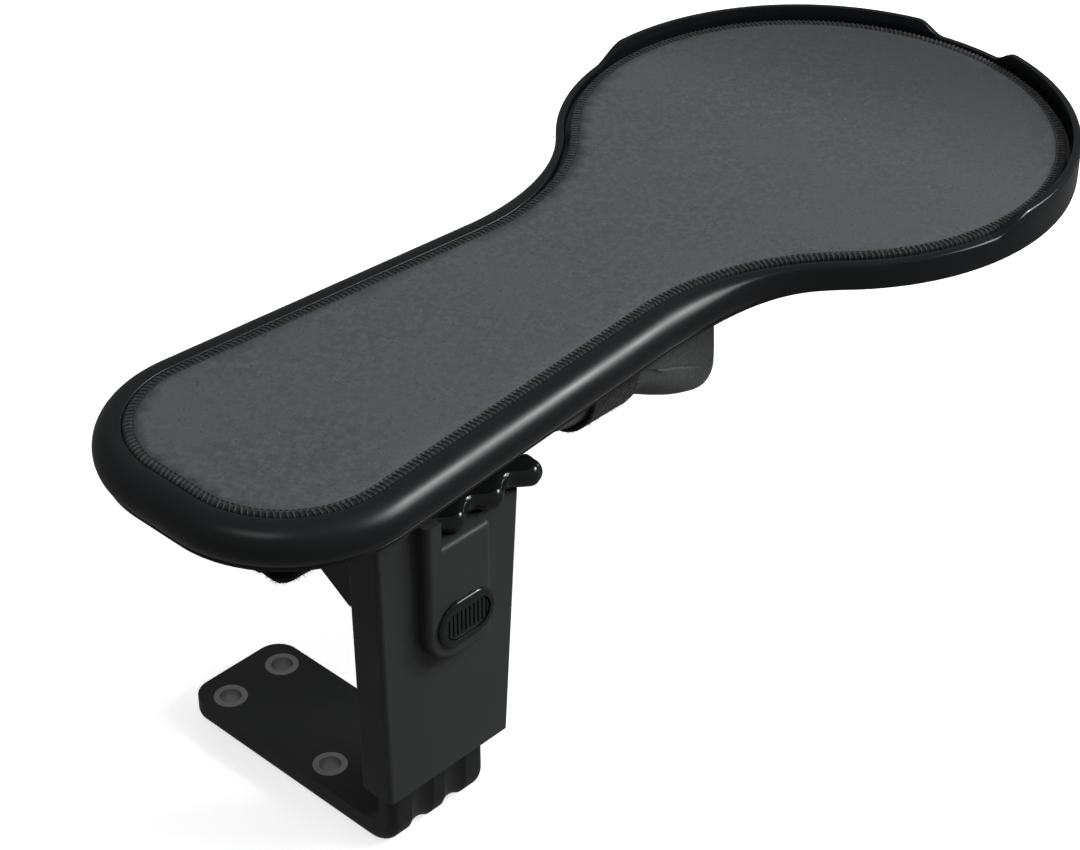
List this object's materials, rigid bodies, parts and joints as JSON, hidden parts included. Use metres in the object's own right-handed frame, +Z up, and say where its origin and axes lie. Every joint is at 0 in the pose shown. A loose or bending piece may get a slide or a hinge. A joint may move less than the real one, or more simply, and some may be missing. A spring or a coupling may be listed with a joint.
{
  "type": "chair armrest with mouse tray",
  "caption": "Height-adjustable chair armrest with a padded top and, strapped over it, a paddle-shaped tray with a stitched mouse mat.",
  "frame": {"origin": "centre of the four seat bolts, on the top face of the foot that lies against the seat's underside", "axes": "+X forward along the arm towards the round end of the tray, +Y inboard towards the seat, +Z up"},
  "size_m": [0.4687, 0.218, 0.1957],
  "materials": {
    "tray_plastic": "polished moulded black",
    "mat_cloth": "fine close-woven cloth",
    "mat_rubber": "matte foam rubber",
    "stitching": "overlock thread",
    "strap": "hook-and-loop tape",
    "cushion_skin": "foam with a soft moulded skin",
    "foam": "closed-cell foam",
    "sleeve_plastic": "fine moulded grain",
    "column_plastic": "glass-filled nylon",
    "inner_plastic": "plain moulded",
    "gloss_trim": "polished",
    "button_plastic": "satin, ribbed",
    "liner_plastic": "slick acetal",
    "steel": "zinc plated"
  },
  "bodies": {
    "bracket": {"support_bracket": "column_plastic", "bolt_bushes": "steel", "height_rack": "steel", "rack_screws": "steel"},
    "sleeve": {"sleeve_shell": "sleeve_plastic", "sleeve_cap": "inner_plastic", "latch_housing": "sleeve_plastic", "button_bezel": "gloss_trim", "guide_liners": "liner_plastic", "stop_screw": "steel", "latch_pin": "steel", "latch_spring": "steel", "button_spring": "steel", "head_bracket": "inner_plastic", "head_screws": "steel", "paddle_pin": "steel", "paddle_spring": "steel", "guide_screws": "steel"},
    "button": {"height_button": "button_plastic"},
    "latch": {"height_latch": "steel"},
    "paddle": {"release_paddle": "gloss_trim", "brake_shoe": "mat_rubber"},
    "pad": {"slide_plate": "inner_plastic", "slide_plate_screws": "steel", "cushion_base": "inner_plastic", "armrest_cushion": "cushion_skin", "foam_pads": "foam", "tray": "tray_plastic", "mat_base": "mat_rubber", "mat_cloth": "mat_cloth", "mat_edge_stitching": "stitching", "front_strap": "strap", "front_strap_tab": "strap", "rear_strap": "strap", "rear_strap_tab": "strap"}
  },
  "joints": [
    {"name": "height_slide", "type": "slide", "parent": "bracket", "child": "sleeve", "axis": [0, 0, 1], "range_m": [0, 0.06]},
    {"name": "button_press", "type": "slide", "parent": "sleeve", "child": "button", "axis": [0, 1, 0], "range_m": [0, 0.0025], "stiffness_N_per_m": 800, "springref_m": -0.001, "deforming": ["button_spring"]},
    {"name": "latch_rock", "type": "hinge", "parent": "sleeve", "child": "latch", "pos_m": [0.004, -0.0799, 0.072], "axis": [-1, 0, 0], "range_deg": [0, 5.65]},
    {"name": "paddle_lift", "type": "hinge", "parent": "sleeve", "child": "paddle", "pos_m": [0.003, -0.06, 0.137], "axis": [-1, 0, 0], "range_deg": [0, 8], "stiffness_Nm_per_rad": 0.3, "springref_deg": -2.86},
    {"name": "pad_slide", "type": "slide", "parent": "sleeve", "child": "pad", "axis": [1, 0, 0], "range_m": [-0.025, 0]}
  ],
  "couplings": [
    {"joint": "latch_rock", "follows": "button_press", "rad_per_m": 39.216}
  ]
}
